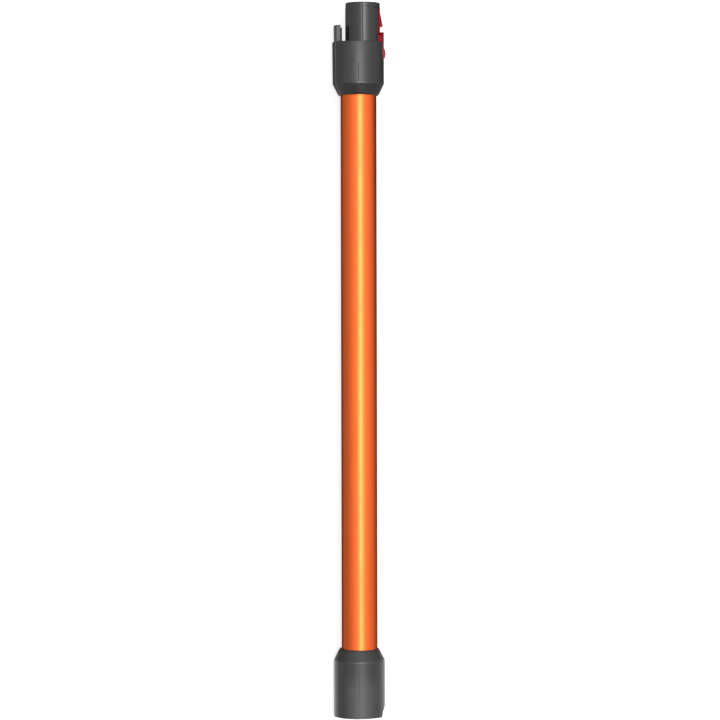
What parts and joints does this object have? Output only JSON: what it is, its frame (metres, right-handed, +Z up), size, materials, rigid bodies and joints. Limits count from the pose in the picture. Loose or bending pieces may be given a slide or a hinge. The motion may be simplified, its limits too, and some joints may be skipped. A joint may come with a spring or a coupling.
{
  "type": "vacuum extension wand",
  "caption": "Straight extension wand with an aluminium tube, a latching spigot end and a matching socket end, carrying air and low-voltage power.",
  "frame": {"origin": "middle of the footprint on the surface that the wand lies on", "axes": "+Y along the wand from the socket mouth to the spigot tip, +Z up; the wand lies on the flat flank of its two collars, catch side raised"},
  "size_m": [0.05, 0.73, 0.0502],
  "materials": {
    "tube_metal": "satin orange anodised",
    "collar_plastic": "fine satin, dark grey",
    "duct_plastic": "satin, dark grey",
    "plug_plastic": "satin, mid grey",
    "retainer_plastic": "natural",
    "carrier_plastic": "matt black",
    "catch_plastic": "semi-gloss red",
    "steel": "bright zinc",
    "contact_metal": "plated",
    "seal_rubber": "matt",
    "wire_red": "insulation",
    "wire_black": "insulation"
  },
  "bodies": {
    "wand": {"tube": "tube_metal", "upper_collar": "collar_plastic", "spigot_duct": "duct_plastic", "catch_pin": "steel", "catch_spring": "steel", "plug_body": "plug_plastic", "plug_retainer": "retainer_plastic", "plug_terminal_left": "contact_metal", "plug_terminal_right": "contact_metal", "upper_seal": "seal_rubber", "upper_grommet": "seal_rubber", "upper_screws": "steel", "wire_left": "wire_red", "wire_right": "wire_black", "lower_collar": "collar_plastic", "socket_duct": "duct_plastic", "socket_lip_seal": "seal_rubber", "lower_seal": "seal_rubber", "pin_carrier": "carrier_plastic", "contact_pin_left": "contact_metal", "contact_pin_right": "contact_metal", "lower_grommet": "seal_rubber", "lower_screws": "steel"},
    "catch": {"release_catch": "catch_plastic"}
  },
  "joints": [
    {"name": "catch_press", "type": "hinge", "parent": "wand", "child": "catch", "pos_m": [0.0125, 0.2985, 0.03902], "axis": [-0.7513, 0, 0.66], "range_deg": [0, 3.8], "stiffness_Nm_per_rad": 0.4, "springref_deg": -8.59, "deforming": ["catch_spring"]}
  ]
}
